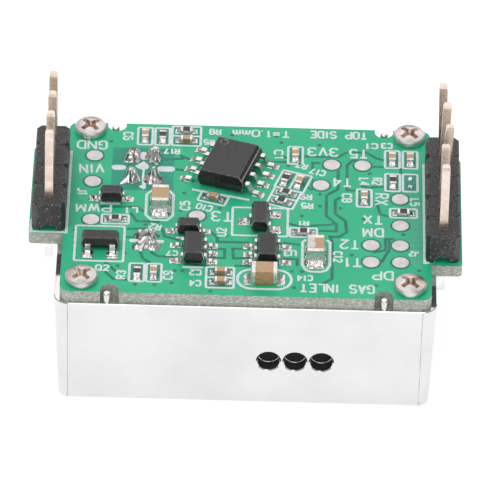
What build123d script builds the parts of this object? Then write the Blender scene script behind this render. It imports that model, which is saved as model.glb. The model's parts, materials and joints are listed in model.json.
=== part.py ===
from build123d import *
import math
import os

# Infrared gas sensor module: a plated sensing box, closed by a circuit board that carries
# two pin headers.  Millimetres, +Z up, +Y towards the back, origin at the centre of the
# box's underside.  The gas holes face -Y.

# ---- driving dimensions ---------------------------------------------------------------
board_width = 28.5
board_depth = 21.3
board_thick = 1.0
board_corner = 0.8
row_spacing = 30.48
row_shift = -0.15
ear_reach = 1.53
ear_margin = 0.37
pitch = 2.54
chamber_height = 9.7
chamber_width = 29.4
chamber_depth = 21.8
chamber_draft = 2.0
chamber_corner = 0.8
chamber_wall = 1.1
chamber_floor = 1.2

board_bottom = chamber_height
board_top = board_bottom + board_thick

# Pin headers: first pin's place along Y, number of positions, and how far each pin's tip
# has been knocked sideways and backwards.
left_row_x = row_shift - row_spacing / 2
right_row_x = row_shift + row_spacing / 2
left_row_start = -2.0
right_row_start = -4.72
left_tip_leans = [(0.02, 0.22), (0.01, 0.1), (0.05, 0.1), (0.03, 0.12)]
right_tip_leans = [(-0.04, -0.1), (-0.03, -0.1), (0.34, -0.12), (0.15, 0.14), (-0.16, 0.12)]
pin_side = 0.64
pin_above = 6.0
pin_below = 2.5
pin_hole_radius = 0.5
header_height = 2.54
header_width = 2.6
header_tunnel = 0.5

# Edge notches of the board and the posts of the rim that stand in them.
notch_width = 1.45
notch_reach = 1.0
notch_places = [(-10.4, -1), (10.6, -1), (-10.5, 1), (10.6, 1)]
post_radius = 0.31
post_x = 10.62
post_y = 10.45
post_height = 0.8

# Screws
screw_x = 12.6
screw_front_y = -9.2
screw_back_y = 9.6
screw_head_radius = 1.25
screw_rim = 0.55
screw_dome = 0.14
screw_edge = 0.1
recess_span = 1.92
recess_arm = 0.42
recess_depth = 0.5
recess_taper = 0.45
recess_hub = 0.86
screw_turn = 42
screw_length = 4.4
screw_tip = 0.4
screw_shank_radius = 0.65
screw_hole_radius = 0.8
boss_radius = 1.6
screw_places = [(sx * screw_x, y) for y in (screw_front_y, screw_back_y) for sx in (-1, 1)]

# Gas holes
gas_hole_radius = 0.88
gas_hole_pitch = 2.04
gas_hole_first_x = 1.9
gas_hole_z = 4.3
gas_hole_lip = 0.1

# Optical parts hung under the board
detector_x = -8.28
detector_y = 4.85
detector_lead_x = 0.88
detector_lead_y = 1.25
detector_radius = 2.35
emitter_x = -7.77
emitter_y = -4.28
emitter_lead_x = 0.5
emitter_lead_y = 0.68
emitter_radius = 1.6
lead_radius = 0.22
lead_hole_radius = 0.38
guide_half_length = 10.85
guide_half_depth = 9.15
guide_bottom = chamber_floor
guide_top = 6.3
can_base_top = 9.35
can_flange_bottom = 9.1
can_base_bottom = 8.7
can_skin = 0.2
window_thick = 0.25
lamp_base_top = 9.3
lamp_dome_centre = 6.2
filament_level = 6.9
guide_lid = 0.7
channel_floor = 2.0
channel_width = 4.4
channel_right = 9.5
front_channel_left = -10.2
back_channel_left = -10.6
gas_slot_half = 3.1
gas_slot_low = 3.0
gas_slot_high = 5.6

# Surface parts: ceramic chips as (x, y, turn)
chip_length = 0.96
chip_width = 0.54
chip_cap_height = 0.37
chip_resistor_height = 0.26
chip_end = 0.23
chip_land_reach = 0.42
chip_cap_climb = 0.24
chip_resistor_climb = 0.25
land_thick = 0.04
foot_overhang = 0.5
foot_land_length = 1.0
group_turn = -18
small_capacitors = [
    (-8.26, 9.05, 90), (-4.99, 8.58, 0), (3.63, 7.08, 90), (11.25, 6.87, 90),
    (12.65, 6.87, 90), (9.05, 1.85, 90), (-1.94, -7.93, 0), (-1.94, -9.12, 0),
    (-7.11, -8.14, 90), (-2.72, 1.33, group_turn), (4.0, 3.62, group_turn + 90),
]
chip_resistors = [
    (-6.88, 9.05, 90), (-5.02, 9.78, 0), (11.3, 4.0, 90), (12.11, 0.0, 0),
    (4.35, -2.75, 0), (-8.37, -8.27, 90), (-10.27, -1.7, 0), (2.91, 3.96, group_turn + 90),
    (2.93, 2.16, group_turn), (2.58, 1.1, group_turn),
]
empty_place = (12.65, 3.92, 90)
bulk_length = 2.0
bulk_width = 1.3
bulk_height = 1.25
bulk_end = 0.35
bulk_capacitors = [(-6.82, 0.27, 90), (5.3, -5.52, 90), (1.4, -8.65, 0)]

# Leaded surface parts
amplifier_place = (-1.5, 4.62, -17.5)
regulator_left_place = (-4.08, -5.66, 0)
regulator_right_place = (1.58, -5.6, 180)
transistor_centre_place = (0.96, -1.52, 180)
lamp_driver_place = (-11.31, -4.88, 90)
diode_left_place = (-10.64, 0.88, 0)
diode_centre_place = (-4.56, -2.92, 0)
microcontroller_place = (3.2, 1.0, 0)

# Moulded bodies as (width, depth, height)
body_stand = 0.06
amplifier_size = (3.8, 4.9, 1.45)
amplifier_reach = 3.0
amplifier_slope = 0.2
amplifier_bevel = 0.36
regulator_size = (1.62, 2.9, 1.08)
transistor_size = (1.35, 2.9, 1.0)
diode_size = (1.75, 1.25, 0.95)
microcontroller_size = (4.4, 6.5, 1.0)

test_pad_radius = 0.64
test_pad_places = [
    (-12.15, 6.39), (-12.19, 3.08), (-12.15, -1.72), (-3.94, -0.95), (6.49, 5.99),
    (5.67, 3.34), (8.91, 5.99), (11.84, 1.82), (11.87, -1.52), (11.85, -4.01),
    (11.86, -6.09), (9.59, -4.05), (9.59, -6.13),
]


# ---- helpers --------------------------------------------------------------------------
def block(x0, x1, y0, y1, z0, z1):
    """Box between two opposite corners."""
    centre = Pos((x0 + x1) / 2, (y0 + y1) / 2, (z0 + z1) / 2)
    return centre * Box(x1 - x0, y1 - y0, z1 - z0)


def rod(x, y, radius, z0, z1):
    """Upright cylinder."""
    return Pos(x, y, (z0 + z1) / 2) * Cylinder(radius, z1 - z0)


def put(shape, place, level=board_top):
    """Stand a shape that is modelled about the origin at (x, y, turn) on a level."""
    x, y, turn = place
    return Pos(x, y, level) * Rot(0, 0, turn) * shape


def save(name, solids):
    """Write one node."""
    shape = solids[0] if len(solids) == 1 else Compound(solids)
    export_step(shape, f"parts/{name}.step")


def one(shape):
    """The single solid of a shape."""
    return shape.solids()[0]


# ---- box ------------------------------------------------------------------------------
def chamber_outside():
    shrink = 2 * chamber_height * math.tan(math.radians(chamber_draft))
    foot = RectangleRounded(chamber_width - shrink, chamber_depth - shrink, chamber_corner)
    body = extrude(foot, chamber_height, taper=-chamber_draft)
    body = fillet(body.faces().sort_by(Axis.Z)[0].edges(), 0.3)
    return chamfer(body.faces().sort_by(Axis.Z)[-1].outer_wire().edges(), 0.06)


def chamber_housing():
    outside = chamber_outside()
    draft_at_holes = (chamber_height - gas_hole_z) * math.tan(math.radians(chamber_draft))
    half_x = chamber_width / 2 - draft_at_holes - chamber_wall
    half_y = chamber_depth / 2 - draft_at_holes - chamber_wall
    cavity = Pos(0, 0, chamber_floor) * extrude(
        RectangleRounded(2 * half_x, 2 * half_y, 1.0), chamber_height
    )
    bosses = Part() + [rod(x, y, boss_radius, 0, chamber_height) for x, y in screw_places]
    body = (outside - cavity) + (bosses & outside)
    for x, y in screw_places:
        body -= rod(x, y, screw_shank_radius, board_top - screw_length - 0.3, chamber_height)
    for k in range(3):
        body -= gas_hole(gas_hole_first_x + k * gas_hole_pitch)
    for sx in (-1, 1):
        for sy in (-1, 1):
            body += rim_post(sx * post_x, sy * post_y)
    return one(body)


def gas_hole(x):
    """Cutter for one hole through the front wall, with a small outer lip."""
    face_y = -chamber_depth / 2
    face_y += (chamber_height - gas_hole_z) * math.tan(math.radians(chamber_draft))
    lip = Cone(gas_hole_radius, gas_hole_radius + 3 * gas_hole_lip, 3 * gas_hole_lip)
    lip_y = face_y + gas_hole_lip - 1.5 * gas_hole_lip
    lip = Pos(x, lip_y, gas_hole_z) * Rot(90, 0, 0) * lip
    hole = Pos(x, face_y, gas_hole_z) * Rot(90, 0, 0) * Cylinder(gas_hole_radius, 4)
    return hole + lip


def rim_post(x, y):
    post = rod(x, y, post_radius, chamber_height - 0.5, chamber_height + post_height)
    return fillet(post.faces().sort_by(Axis.Z)[-1].edges(), 0.14)


def dust_filter():
    wall_y = -(chamber_depth / 2 - chamber_wall)
    wall_y += (chamber_height - gas_hole_z) * math.tan(math.radians(chamber_draft))
    span = gas_hole_pitch + gas_hole_radius + 0.5
    middle = gas_hole_first_x + gas_hole_pitch
    sheet = block(middle - span, middle + span, wall_y, wall_y + 0.3, 2.6, 6.0)
    return fillet(sheet.edges().filter_by(Axis.Y), 0.4)


# ---- light path -----------------------------------------------------------------------
def mirror_wedge(x, y, half_y):
    """Sloped mirror that turns the light up or down at the end of a channel."""
    rise = guide_top - channel_floor - 0.6
    outline = Polyline((0, 0), (rise, 0), (0, rise), close=True)
    wedge = extrude(Plane.XZ * make_face(outline), half_y, both=True)
    return Pos(x, y, channel_floor) * wedge


def corner_mirror(x, y, side):
    """Upright 45 degree mirror that folds the light round the end of the divider."""
    reach = channel_width - 0.8
    outline = Polyline((0, 0), (-reach, 0), (0, -side * reach), close=True)
    height = guide_top - channel_floor
    return Pos(x, y, channel_floor) * extrude(make_face(outline), height)


def light_guide():
    body = block(
        -guide_half_length, guide_half_length, -guide_half_depth, guide_half_depth,
        guide_bottom, guide_top,
    )
    body = fillet(body.edges().filter_by(Axis.Z), 0.8)
    half = channel_width / 2
    front = block(front_channel_left, channel_right, emitter_y - half, emitter_y + half,
                  channel_floor, guide_top)
    back = block(back_channel_left, channel_right, detector_y - half, detector_y + half,
                 channel_floor, guide_top)
    turn = block(
        channel_right - channel_width, channel_right, emitter_y - half, detector_y + half,
        channel_floor, guide_top,
    )
    body -= front + back + turn
    body += mirror_wedge(front_channel_left, emitter_y, half)
    body += mirror_wedge(back_channel_left, detector_y, half)
    body += corner_mirror(channel_right, detector_y + half, 1)
    body += corner_mirror(channel_right, emitter_y - half, -1)
    middle = gas_hole_first_x + gas_hole_pitch
    body -= block(middle - gas_slot_half, middle + gas_slot_half, -guide_half_depth,
                  emitter_y - half, gas_slot_low, gas_slot_high)
    return one(body)


def light_guide_cover():
    plate = block(
        -guide_half_length, guide_half_length, -guide_half_depth, guide_half_depth,
        guide_top, guide_top + guide_lid,
    )
    plate = fillet(plate.edges().filter_by(Axis.Z), 0.8)
    plate -= rod(detector_x, detector_y, detector_radius + 0.05, guide_top, guide_top + guide_lid)
    plate -= rod(emitter_x, emitter_y, emitter_radius + 0.05, guide_top, guide_top + guide_lid)
    return one(plate)


def lead_places(x, y, half_x, half_y):
    return [(x + sx * half_x, y + sy * half_y) for sx in (-1, 1) for sy in (-1, 1)]


detector_leads_at = lead_places(detector_x, detector_y, detector_lead_x, detector_lead_y)
emitter_leads_at = lead_places(emitter_x, emitter_y, emitter_lead_x, emitter_lead_y)


def detector_base():
    inner = detector_radius - can_skin
    base = rod(detector_x, detector_y, detector_radius + 0.35, can_flange_bottom, can_base_top)
    base += rod(detector_x, detector_y, inner, can_base_bottom, can_flange_bottom)
    for x, y in detector_leads_at:
        base -= rod(x, y, lead_radius, guide_top, board_bottom)
    return one(base)


def window_slots():
    slots = []
    for side in (-1, 1):
        x = detector_x + side * 0.9
        slots.append(block(x - 0.6, x + 0.6, detector_y - 0.9, detector_y + 0.9,
                           guide_top, guide_top + window_thick))
    return slots


def detector_cap():
    can = rod(detector_x, detector_y, detector_radius, guide_top, can_flange_bottom)
    can = fillet(can.faces().sort_by(Axis.Z)[0].edges(), 0.3)
    can -= rod(detector_x, detector_y, detector_radius - can_skin,
               guide_top + window_thick, can_flange_bottom)
    for slot in window_slots():
        can -= slot
    return one(can)


def detector_chips():
    chips = []
    for side in (-1, 1):
        x = detector_x + side * 0.75
        chips.append(block(x - 0.5, x + 0.5, detector_y - 0.5, detector_y + 0.5,
                           can_base_bottom - 0.3, can_base_bottom))
    return chips


def leads(places, bottom, top):
    pins = []
    for x, y in places:
        pin = rod(x, y, lead_radius, bottom, top)
        pins.append(chamfer(pin.faces().sort_by(Axis.Z)[-1].edges(), 0.06))
    return pins


def emitter_base():
    base = rod(emitter_x, emitter_y, emitter_radius, can_base_bottom, lamp_base_top)
    base = fillet(base.faces().sort_by(Axis.Z)[-1].edges(), 0.1)
    for x, y in emitter_leads_at:
        base -= rod(x, y, lead_radius, guide_top, board_bottom)
    return one(base)


def emitter_bulb():
    """Glass tube closed by a dome, hollow, hanging under the base."""
    outer = emitter_radius - 0.1
    return one(test_tube(outer) - test_tube(outer - can_skin))


def test_tube(radius):
    """Solid round-ended tube at the emitter's place, open end up."""
    dome = Pos(emitter_x, emitter_y, lamp_dome_centre) * Sphere(radius)
    return dome + rod(emitter_x, emitter_y, radius, lamp_dome_centre, can_base_bottom)


def emitter_filament():
    """Coiled filament between the two front leads and the two back leads."""
    coil = Helix(pitch=0.12, height=0.9, radius=0.14)
    wire = sweep(Plane(coil @ 0, z_dir=coil % 0) * Circle(0.03), path=coil)
    return Pos(emitter_x, emitter_y + 0.45, filament_level) * Rot(90, 0, 0) * wire


# ---- board ----------------------------------------------------------------------------
def row_centre(start, count):
    return start + (count - 1) * pitch / 2


def ear(row_x, start, count):
    """Side tongue of the board that carries a pin header."""
    side = -1 if row_x < 0 else 1
    middle = row_centre(start, count)
    half = count * pitch / 2 + ear_margin
    outer = row_x + side * ear_reach
    inner = side * (board_width / 2 - 1)
    tongue = block(min(outer, inner), max(outer, inner), middle - half, middle + half,
                   board_bottom, board_top)
    return fillet(tongue.edges().filter_by(Axis.Z).group_by(Axis.X)[0 if side < 0 else -1], 0.35)


def pin_places(row_x, start, count):
    return [(row_x, start + k * pitch) for k in range(count)]


left_pins_at = pin_places(left_row_x, left_row_start, 4)
right_pins_at = pin_places(right_row_x, right_row_start, 5)


def edge_notch(x, side):
    radius = notch_width / 2
    edge = side * board_depth / 2
    centre = edge - side * (notch_reach - radius)
    cut = rod(x, centre, radius, board_bottom, board_top)
    low, high = sorted((centre, edge + side))
    return cut + block(x - radius, x + radius, low, high, board_bottom, board_top)


def circuit_board():
    half_x = board_width / 2
    half_y = board_depth / 2
    board = block(-half_x, half_x, -half_y, half_y, board_bottom, board_top)
    board = fillet(board.edges().filter_by(Axis.Z), board_corner)
    board += ear(left_row_x, left_row_start, 4)
    board += ear(right_row_x, right_row_start, 5)
    for x, side in notch_places:
        board -= edge_notch(x, side)
    for x, y in screw_places:
        board -= rod(x, y, screw_hole_radius, board_bottom, board_top)
    for x, y in left_pins_at + right_pins_at:
        board -= rod(x, y, pin_hole_radius, board_bottom, board_top)
    for x, y in detector_leads_at + emitter_leads_at:
        board -= rod(x, y, lead_hole_radius, board_bottom, board_top)
    return one(board)


# ---- screws ---------------------------------------------------------------------------
def board_screw():
    """Cross-recess screw, its flat-crowned head standing on z = 0."""
    crown = screw_rim + screw_dome
    low_dome = ThreePointArc((screw_head_radius - screw_edge, screw_rim),
                             (screw_head_radius / 2, screw_rim + 0.8 * screw_dome), (0, crown))
    rim = Polyline((0, 0), (screw_head_radius - screw_edge / 2, 0),
                   (screw_head_radius, screw_edge / 2), (screw_head_radius, screw_rim - screw_edge))
    rim += Line((screw_head_radius, screw_rim - screw_edge),
                (screw_head_radius - screw_edge, screw_rim))
    profile = rim + low_dome + Line((0, crown), (0, 0))
    head = revolve(Plane.XZ * make_face(profile), Axis.Z)
    shaft_length = screw_length - screw_tip
    shaft = Pos(0, 0, -shaft_length / 2) * Cylinder(screw_shank_radius, shaft_length)
    tip = Pos(0, 0, screw_tip / 2 - screw_length) * Cone(0.25, screw_shank_radius, screw_tip)
    screw = head + shaft + tip
    return one(screw - cross_recess(crown))


def cross_recess(crown):
    """Tapered cross cut into the crown of a head."""
    high = crown + 0.05
    low = crown - recess_depth
    cut = Part()
    for turn in (0, 90):
        place = Rot(0, 0, turn)
        top = Pos(0, 0, high) * place * Rectangle(recess_span, recess_arm)
        bottom = Pos(0, 0, low) * place * Rectangle(recess_span * recess_taper,
                                                    recess_arm * recess_taper)
        cut += loft([bottom, top])
    hub_top = Pos(0, 0, high) * Rot(0, 0, 45) * Rectangle(recess_hub, recess_hub)
    hub_bottom = Pos(0, 0, low) * Rot(0, 0, 45) * Rectangle(recess_hub * recess_taper,
                                                            recess_hub * recess_taper)
    return cut + loft([hub_bottom, hub_top])


# ---- pin headers ----------------------------------------------------------------------
def header_housing(row_x, start, count):
    """Row of chamfered blocks joined at their sides, with a tunnel along the underside."""
    body = Part()
    for k in range(count):
        cell = Pos(0, 0, header_height / 2) * Box(header_width, pitch, header_height)
        cell = chamfer(cell.edges().filter_by(Axis.Z), 0.34)
        cell = chamfer(cell.faces().sort_by(Axis.Z)[-1].edges(), 0.1)
        body += Pos(row_x, start + k * pitch, board_top) * cell
    ends = [start - pitch / 2 - 1, start + (count - 0.5) * pitch + 1]
    tunnel = block(row_x - 0.62, row_x + 0.62, ends[0], ends[1], board_top,
                   board_top + header_tunnel)
    body -= fillet(tunnel.edges().filter_by(Axis.Y).group_by(Axis.Z)[-1], 0.3)
    for k in range(count):
        body -= block(row_x - pin_side / 2, row_x + pin_side / 2,
                      start + k * pitch - pin_side / 2, start + k * pitch + pin_side / 2,
                      board_top, board_top + header_height + 1)
    return one(body)


def header_pin(x, y, lean):
    """Square pin: straight through the housing, leaning above it, tips tapered."""
    low = board_bottom - pin_below
    shoulder = board_top + header_height
    high = shoulder + pin_above
    straight = block(x - pin_side / 2, x + pin_side / 2, y - pin_side / 2, y + pin_side / 2,
                     low + 0.25, shoulder)
    tail = loft([
        Pos(x, y, low) * Rectangle(0.4, 0.4),
        Pos(x, y, low + 0.25) * Rectangle(pin_side, pin_side),
    ])
    upper = loft([
        Pos(x, y, shoulder) * Rectangle(pin_side, pin_side),
        Pos(x + lean[0] * 0.96, y + lean[1] * 0.96, high - 0.22) * Rectangle(pin_side, pin_side),
    ])
    tip = loft([
        Pos(x + lean[0] * 0.96, y + lean[1] * 0.96, high - 0.22) * Rectangle(pin_side, pin_side),
        Pos(x + lean[0], y + lean[1], high) * Rectangle(0.44, 0.44),
    ])
    return one(straight + tail + upper + tip)


def header_solder(x, y):
    """Cone of solder under the board, filling the plated hole round a pin."""
    joint = rod(x, y, pin_hole_radius, board_bottom, board_top)
    profile = Polyline((0, 0), (0.82, 0), (0.6, -0.32), (0.46, -0.95), (0, -0.95), close=True)
    cone = revolve(Plane.XZ * make_face(profile), Axis.Z)
    joint += Pos(x, y, board_bottom) * cone
    clear_x = chamber_width / 2 + 0.03
    joint -= block(-clear_x, clear_x, y - 1, y + 1, board_bottom - 2, board_bottom)
    return one(joint - block(x - pin_side / 2, x + pin_side / 2, y - pin_side / 2,
                             y + pin_side / 2, board_bottom - 2, board_top + 1))


def lead_solder_cone(x, y, height, foot):
    """Tall peaked solder on top of the board, filling the hole round a round lead."""
    joint = rod(x, y, lead_hole_radius, board_bottom, board_top)
    side = ThreePointArc((foot, 0), (foot * 0.62, height * 0.42), (0.2, height))
    outline = side + Polyline((0.2, height), (0, height), (0, 0), (foot, 0))
    cone = revolve(Plane.XZ * make_face(outline), Axis.Z)
    joint += Pos(x, y, board_top) * cone
    return one(joint - rod(x, y, lead_radius, board_bottom - 1, board_top + height * 0.6))


# ---- chips ----------------------------------------------------------------------------
def chip_body(length, width, height, end):
    return Pos(0, 0, land_thick + height / 2) * Box(length - 2 * end, width, height)


def chip_ends(length, width, height, end):
    """Metal caps on both ends, a little fuller than the body."""
    caps = []
    for side in (-1, 1):
        cap = Box(end, width + 0.03, height + 0.015)
        cap = fillet(cap.edges(), 0.045)
        x = side * (length - end) / 2
        caps.append(Pos(x, 0, land_thick + (height + 0.015) / 2) * cap)
    return caps


def solder_fillet(x, reach, height, width):
    """Hollow wedge of solder that rises from its land to a face at x."""
    toe = (x + reach, land_thick)
    crest = (x, land_thick + height)
    outline = TangentArc(toe, crest, tangent=(-1, 0)) + Polyline(crest, (x, land_thick), toe)
    return extrude(Plane.XZ * make_face(outline), width / 2, both=True)


def chip_lands(length, width, reach, height):
    """Solder lands at both ends: a thin pad and a hollow fillet climbing the end cap."""
    lands = []
    half = width / 2 + 0.04
    for side in (-1, 1):
        x = length / 2
        pad = block(x - 0.3, x + reach, -half, half, 0, land_thick)
        climb = solder_fillet(x, reach - 0.05, height, width - 0.06)
        lands.append(Rot(0, 0, 0 if side > 0 else 180) * one(pad + climb))
    return lands


def film(length, width, height, end):
    z = land_thick + height
    return block(-(length / 2 - end), length / 2 - end, -width / 2, width / 2, z, z + 0.03)


def chip_set(places, length, width, height, end):
    bodies = [put(chip_body(length, width, height, end), p) for p in places]
    ends = [put(cap, p) for p in places for cap in chip_ends(length, width, height, end)]
    return bodies, ends


# ---- leaded surface parts -------------------------------------------------------------
def moulded_body(width, depth, height, stand, slope=0.16):
    """Moulded body with both halves tapering away from a parting line."""
    middle = stand + height * 0.5
    lower = loft([
        Pos(0, 0, stand) * Rectangle(width - 2 * slope, depth - 2 * slope),
        Pos(0, 0, middle - 0.04) * Rectangle(width, depth),
    ])
    belt = Pos(0, 0, middle) * Box(width, depth, 0.08)
    upper = loft([
        Pos(0, 0, middle + 0.04) * Rectangle(width, depth),
        Pos(0, 0, stand + height) * Rectangle(width - 2 * slope, depth - 2 * slope),
    ])
    body = lower + belt + upper
    return fillet(body.faces().sort_by(Axis.Z)[-1].edges(), 0.05)


def gull_lead(body_half, middle, reach, width, thick, stand=land_thick):
    """Bent lead leaving a body along +X: out, down and out again on its foot."""
    knee = body_half + (reach - body_half) * 0.32
    heel = body_half + (reach - body_half) * 0.5
    outline = Polyline(
        (body_half, middle + thick / 2), (knee, middle + thick / 2),
        (heel + thick * 0.4, stand + thick), (reach, stand + thick), (reach, stand),
        (heel - thick * 0.2, stand), (knee - thick * 0.5, middle - thick / 2),
        (body_half, middle - thick / 2), close=True,
    )
    face = make_face(outline)
    inner = face.vertices().filter_by(lambda v: abs(v.X - body_half) > 0.01 and v.X < reach - 0.01)
    face = fillet(inner, thick * 0.35)
    return extrude(Plane.XZ * face, width / 2, both=True)


def gull_leads(sides, body_half, middle, reach, width, thick):
    """Leads at the given (side, y) places; side 1 points to +X and -1 to -X."""
    out = []
    for side, y in sides:
        lead = gull_lead(body_half, middle, reach, width, thick)
        out.append(Pos(0, y, 0) * Rot(0, 0, 0 if side > 0 else 180) * lead)
    return out


def foot_lands(sides, reach, length, width, climb, flare):
    """Solder under and beyond each foot, rising to the foot's top at its end."""
    lands = []
    for side, y in sides:
        pad = block(reach + foot_overhang - length, reach + foot_overhang, -width / 2, width / 2,
                    0, land_thick)
        toe = solder_fillet(reach, foot_overhang - 0.04, climb, width - 0.08)
        if flare:
            toe = flared_toe(reach, width, climb, flare)
        lands.append(Pos(0, y, 0) * Rot(0, 0, 0 if side > 0 else 180) * one(pad + toe))
    return lands


def flared_toe(x, width, climb, flare):
    """Solder that spreads from a narrow crest at the lead's end to a wide toe."""
    crest = Plane((x + 0.01, 0, land_thick + climb / 2), x_dir=(0, 1, 0), z_dir=(1, 0, 0))
    toe = Plane((x + foot_overhang - 0.05, 0, land_thick + 0.02), x_dir=(0, 1, 0),
                z_dir=(1, 0, 0))
    return loft([crest * Rectangle(width - flare, climb), toe * Rectangle(width - 0.1, 0.04)])


def even_places(count, gap):
    return [(k - (count - 1) / 2) * gap for k in range(count)]


def leaded_part(place, width, depth, height, sides, reach, lead_width, thick,
                level=board_top, slope=0.16, land_extra=0.16, flare=0.0):
    """Body, leads and solder of one moulded part."""
    stand = land_thick + body_stand
    body = put(one(moulded_body(width, depth, height, stand, slope)), place, level)
    middle = stand + height * 0.5
    metal = [put(one(lead), place, level)
             for lead in gull_leads(sides, width / 2, middle, reach, lead_width, thick)]
    solder = [put(land, place, level)
              for land in foot_lands(sides, reach, foot_land_length, lead_width + land_extra,
                                     thick + 0.05, flare)]
    return body, metal, solder


def amplifier():
    sides = [(side, y) for side in (-1, 1) for y in even_places(4, 1.27)]
    body, metal, solder = leaded_part(
        amplifier_place, *amplifier_size, sides, amplifier_reach, 0.42, 0.2,
        slope=amplifier_slope, land_extra=0.22
    )
    width, depth, height = amplifier_size
    top = land_thick + body_stand + height
    bevel = Pos(width / 2 - amplifier_slope, 0, top) * Rot(0, 45, 0) * Box(
        amplifier_bevel, depth + 1, amplifier_bevel
    )
    dot = Pos(-1.05, 1.75, top - 0.02) * Cylinder(0.3, 0.1)
    return one(body - put(bevel, amplifier_place) - put(dot, amplifier_place)), metal, solder


def regulator(place):
    """Five leads: three on the right side and two on the left, before turning."""
    sides = [(1, y) for y in even_places(3, 0.95)] + [(-1, y) for y in even_places(2, 1.9)]
    return leaded_part(place, *regulator_size, sides, 1.4, 0.38, 0.14, land_extra=0.26)


def transistor(place):
    """Three leads: two on the left side and one on the right, before turning."""
    sides = [(-1, y) for y in even_places(2, 1.9)] + [(1, 0)]
    return leaded_part(place, *transistor_size, sides, 1.22, 0.42, 0.13, land_extra=0.5,
                       flare=0.5)


def diode(place):
    """One flat lead at each end."""
    return leaded_part(place, *diode_size, [(-1, 0), (1, 0)], 1.28, 0.36, 0.13, land_extra=0.3)


def microcontroller():
    """Twenty-lead chip under the board, leads bent upwards to its underside."""
    sides = [(side, y) for side in (-1, 1) for y in even_places(10, 0.65)]
    x, y, turn = microcontroller_place
    body, metal, solder = leaded_part(
        (0, 0, 0), *microcontroller_size, sides, 3.2, 0.22, 0.12, level=0
    )
    flip = Pos(x, y, board_bottom) * Rot(180, 0, turn)
    return flip * body, [flip * lead for lead in metal], [flip * land for land in solder]


# ---- writing --------------------------------------------------------------------------
def save_leaded(name, part):
    body, metal, solder = part
    save(f"{name}_body", [body])
    save(f"{name}_leads", metal)
    return solder


def write_box():
    save("chamber_housing", [chamber_housing()])
    save("dust_filter", [dust_filter()])
    save("light_guide", [light_guide()])
    save("light_guide_cover", [light_guide_cover()])
    save("detector_base", [detector_base()])
    save("detector_cap", [detector_cap()])
    save("detector_windows", window_slots())
    save("detector_chips", detector_chips())
    save("detector_leads", leads(detector_leads_at, can_base_bottom, board_top + 0.8))
    save("emitter_base", [emitter_base()])
    save("emitter_bulb", [emitter_bulb()])
    save("emitter_filament", [emitter_filament()])
    save("emitter_leads", leads(emitter_leads_at, filament_level + 0.3, board_top + 0.5))


def write_board():
    save("circuit_board", [circuit_board()])
    save("board_screws", [put(board_screw(), (x, y, screw_turn)) for x, y in screw_places])
    save("header_left_housing", [header_housing(left_row_x, left_row_start, 4)])
    save("header_right_housing", [header_housing(right_row_x, right_row_start, 5)])
    save("header_left_pins",
         [header_pin(x, y, lean) for (x, y), lean in zip(left_pins_at, left_tip_leans)])
    save("header_right_pins",
         [header_pin(x, y, lean) for (x, y), lean in zip(right_pins_at, right_tip_leans)])
    save("header_solder", [header_solder(x, y) for x, y in left_pins_at + right_pins_at])
    save("detector_solder", [lead_solder_cone(x, y, 1.35, 0.78) for x, y in detector_leads_at])
    save("emitter_solder", [lead_solder_cone(x, y, 0.95, 0.48) for x, y in emitter_leads_at])
    save("test_pads", [rod(x, y, test_pad_radius, board_top, board_top + 0.03)
                       for x, y in test_pad_places])


def write_chips():
    size = (chip_length, chip_width)
    bodies, ends = chip_set(small_capacitors, *size, chip_cap_height, chip_end)
    save("small_capacitor_bodies", bodies)
    save("small_capacitor_ends", ends)
    bodies, ends = chip_set(chip_resistors, *size, chip_resistor_height, chip_end)
    save("chip_resistor_bodies", bodies)
    save("chip_resistor_ends", ends)
    save("chip_resistor_films",
         [put(film(*size, chip_resistor_height, chip_end), p) for p in chip_resistors])
    bodies, ends = chip_set(bulk_capacitors, bulk_length, bulk_width, bulk_height, bulk_end)
    save("bulk_capacitor_bodies", bodies)
    save("bulk_capacitor_ends", ends)
    lands = [put(land, p) for p in small_capacitors
             for land in chip_lands(*size, chip_land_reach, chip_cap_climb)]
    lands += [put(land, p) for p in chip_resistors
              for land in chip_lands(*size, chip_land_reach, chip_resistor_climb)]
    lands += [put(land, p) for p in bulk_capacitors
              for land in chip_lands(bulk_length, bulk_width, 0.62, 0.5)]
    x, y, turn = empty_place
    for side in (-1, 1):
        mound = Pos(x, y + side * 0.5, board_top) * extrude(Rectangle(0.5, 0.45), 0.12, taper=35)
        lands.append(one(mound))
    save("chip_solder", lands)


def write_leaded_parts():
    solder = save_leaded("amplifier", amplifier())
    solder += save_leaded("regulator_left", regulator(regulator_left_place))
    solder += save_leaded("regulator_right", regulator(regulator_right_place))
    solder += save_leaded("transistor_centre", transistor(transistor_centre_place))
    solder += save_leaded("lamp_driver", transistor(lamp_driver_place))
    solder += save_leaded("diode_left", diode(diode_left_place))
    solder += save_leaded("diode_centre", diode(diode_centre_place))
    solder += save_leaded("microcontroller", microcontroller())
    save("lead_solder", solder)


os.makedirs("parts", exist_ok=True)
write_box()
write_board()
write_chips()
write_leaded_parts()
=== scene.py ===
import json
import math
import random

import bpy
from mathutils import Euler, Matrix, Vector, noise


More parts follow.
